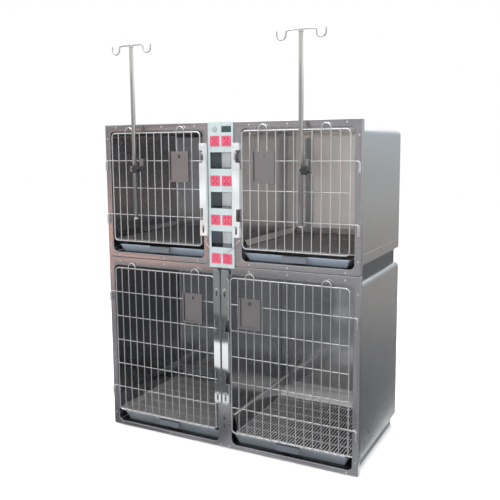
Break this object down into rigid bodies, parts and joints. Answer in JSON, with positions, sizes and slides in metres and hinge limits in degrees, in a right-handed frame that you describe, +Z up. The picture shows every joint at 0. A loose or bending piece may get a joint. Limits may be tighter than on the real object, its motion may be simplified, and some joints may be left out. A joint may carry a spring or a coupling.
{
  "type": "kennel cage",
  "caption": "Stacked stainless steel veterinary kennel bank with wire doors, sliding latch bars, waste trays, service column and infusion poles.",
  "frame": {"origin": "on the floor, under the middle of the cabinet's width and depth", "axes": "+Z up, +X to the right seen from the doors, -Y towards the doors"},
  "size_m": [1.22, 0.654, 1.761],
  "materials": {
    "frame_steel": "bright rolled stainless sheet",
    "body_steel": "satin stainless sheet",
    "inner_steel": "bright rolled stainless sheet",
    "wire": "electropolished wire",
    "latch_steel": "mirror polished sheet",
    "tray_steel": "satin sheet under a thin blue grey film",
    "card_steel": "satin sheet",
    "grid_steel": "polished bar",
    "panel_plastic": "satin pale cyan white",
    "display": "glossy dark display window",
    "button_plastic": "satin grey",
    "socket_plastic": "satin pink red",
    "bay_liner": "bright folded sheet",
    "inlet_plastic": "moulded black",
    "clamp_steel": "machined",
    "knob_plastic": "moulded black",
    "pole_steel": "polished tube"
  },
  "bodies": {
    "cabinet": {"upper_face_frame": "frame_steel", "upper_top": "body_steel", "upper_back": "body_steel", "upper_side_left": "body_steel", "upper_side_right": "body_steel", "upper_base": "inner_steel", "lower_face_frame": "frame_steel", "lower_top": "body_steel", "lower_back": "body_steel", "lower_side_left": "body_steel", "lower_side_right": "body_steel", "lower_base": "inner_steel", "top_closure_strip": "inner_steel", "column_wall_left": "inner_steel", "column_wall_right": "inner_steel", "lower_divider": "inner_steel", "service_panel": "panel_plastic", "display_window": "display", "socket_1_left": "socket_plastic", "socket_1_right": "socket_plastic", "socket_2_left": "socket_plastic", "socket_2_right": "socket_plastic", "socket_3_left": "socket_plastic", "socket_3_right": "socket_plastic", "socket_4_left": "socket_plastic", "socket_4_right": "socket_plastic", "bay_top": "bay_liner", "bay_middle": "bay_liner", "bay_bottom": "bay_liner", "power_inlet": "inlet_plastic", "bail_wire": "wire", "floor_grid_upper_left": "grid_steel", "floor_grid_upper_right": "grid_steel", "floor_grid_lower_left": "grid_steel", "floor_grid_lower_right": "grid_steel"},
    "door_upper_left": {"door_upper_left": "wire", "card_holder_upper_left": "card_steel", "iv_clamp_left": "clamp_steel"},
    "door_upper_right": {"door_upper_right": "wire", "card_holder_upper_right": "card_steel", "iv_clamp_right": "clamp_steel"},
    "door_lower_left": {"door_lower_left": "wire", "card_holder_lower_left": "card_steel"},
    "door_lower_right": {"door_lower_right": "wire", "card_holder_lower_right": "card_steel"},
    "latch_bar_upper_left": {"latch_bar_upper_left": "latch_steel"},
    "latch_bar_upper_right": {"latch_bar_upper_right": "latch_steel"},
    "latch_bar_lower_left": {"latch_bar_lower_left": "latch_steel"},
    "latch_bar_lower_right": {"latch_bar_lower_right": "latch_steel"},
    "tray_upper_left": {"tray_upper_left": "tray_steel"},
    "tray_upper_right": {"tray_upper_right": "tray_steel"},
    "tray_lower_left": {"tray_lower_left": "tray_steel"},
    "tray_lower_right": {"tray_lower_right": "tray_steel"},
    "iv_pole_left": {"iv_pole_left": "pole_steel", "iv_hook_left": "pole_steel"},
    "iv_knob_left": {"iv_knob_left": "knob_plastic"},
    "iv_pole_right": {"iv_pole_right": "pole_steel", "iv_hook_right": "pole_steel"},
    "iv_knob_right": {"iv_knob_right": "knob_plastic"},
    "call_button": {"call_button": "button_plastic"}
  },
  "joints": [
    {"name": "door_upper_left_hinge", "type": "hinge", "parent": "cabinet", "child": "door_upper_left", "pos_m": [-0.6, -0.293, 1.1], "axis": [0, 0, -1], "range_deg": [0, 170]},
    {"name": "door_upper_right_hinge", "type": "hinge", "parent": "cabinet", "child": "door_upper_right", "pos_m": [0.6, -0.293, 1.1], "axis": [0, 0, 1], "range_deg": [0, 170]},
    {"name": "door_lower_left_hinge", "type": "hinge", "parent": "cabinet", "child": "door_lower_left", "pos_m": [-0.6, -0.293, 0.4], "axis": [0, 0, -1], "range_deg": [0, 170]},
    {"name": "door_lower_right_hinge", "type": "hinge", "parent": "cabinet", "child": "door_lower_right", "pos_m": [0.6, -0.293, 0.4], "axis": [0, 0, 1], "range_deg": [0, 170]},
    {"name": "latch_bar_upper_left_slide", "type": "slide", "parent": "cabinet", "child": "latch_bar_upper_left", "axis": [0, 0, 1], "range_m": [0, 0.025]},
    {"name": "latch_bar_upper_right_slide", "type": "slide", "parent": "cabinet", "child": "latch_bar_upper_right", "axis": [0, 0, 1], "range_m": [0, 0.025]},
    {"name": "latch_bar_lower_left_slide", "type": "slide", "parent": "cabinet", "child": "latch_bar_lower_left", "axis": [0, 0, 1], "range_m": [0, 0.025]},
    {"name": "latch_bar_lower_right_slide", "type": "slide", "parent": "cabinet", "child": "latch_bar_lower_right", "axis": [0, 0, 1], "range_m": [0, 0.025]},
    {"name": "tray_upper_left_slide", "type": "slide", "parent": "cabinet", "child": "tray_upper_left", "axis": [0, -1, 0], "range_m": [0, 0.46]},
    {"name": "tray_upper_right_slide", "type": "slide", "parent": "cabinet", "child": "tray_upper_right", "axis": [0, -1, 0], "range_m": [0, 0.46]},
    {"name": "tray_lower_left_slide", "type": "slide", "parent": "cabinet", "child": "tray_lower_left", "axis": [0, -1, 0], "range_m": [0, 0.46]},
    {"name": "tray_lower_right_slide", "type": "slide", "parent": "cabinet", "child": "tray_lower_right", "axis": [0, -1, 0], "range_m": [0, 0.46]},
    {"name": "iv_pole_left_slide", "type": "slide", "parent": "door_upper_left", "child": "iv_pole_left", "axis": [0, 0, 1], "range_m": [-0.17, 0.19]},
    {"name": "iv_knob_left_turn", "type": "hinge", "parent": "door_upper_left", "child": "iv_knob_left", "pos_m": [-0.3935, -0.347, 1.22475], "axis": [0, -1, 0], "range_deg": [0, 360]},
    {"name": "iv_pole_right_slide", "type": "slide", "parent": "door_upper_right", "child": "iv_pole_right", "axis": [0, 0, 1], "range_m": [-0.17, 0.19]},
    {"name": "iv_knob_right_turn", "type": "hinge", "parent": "door_upper_right", "child": "iv_knob_right", "pos_m": [0.4015, -0.347, 1.22475], "axis": [0, -1, 0], "range_deg": [0, 360]},
    {"name": "call_button_press", "type": "slide", "parent": "cabinet", "child": "call_button", "axis": [0, 1, 0], "range_m": [0, 0.002], "stiffness_N_per_m": 600}
  ]
}
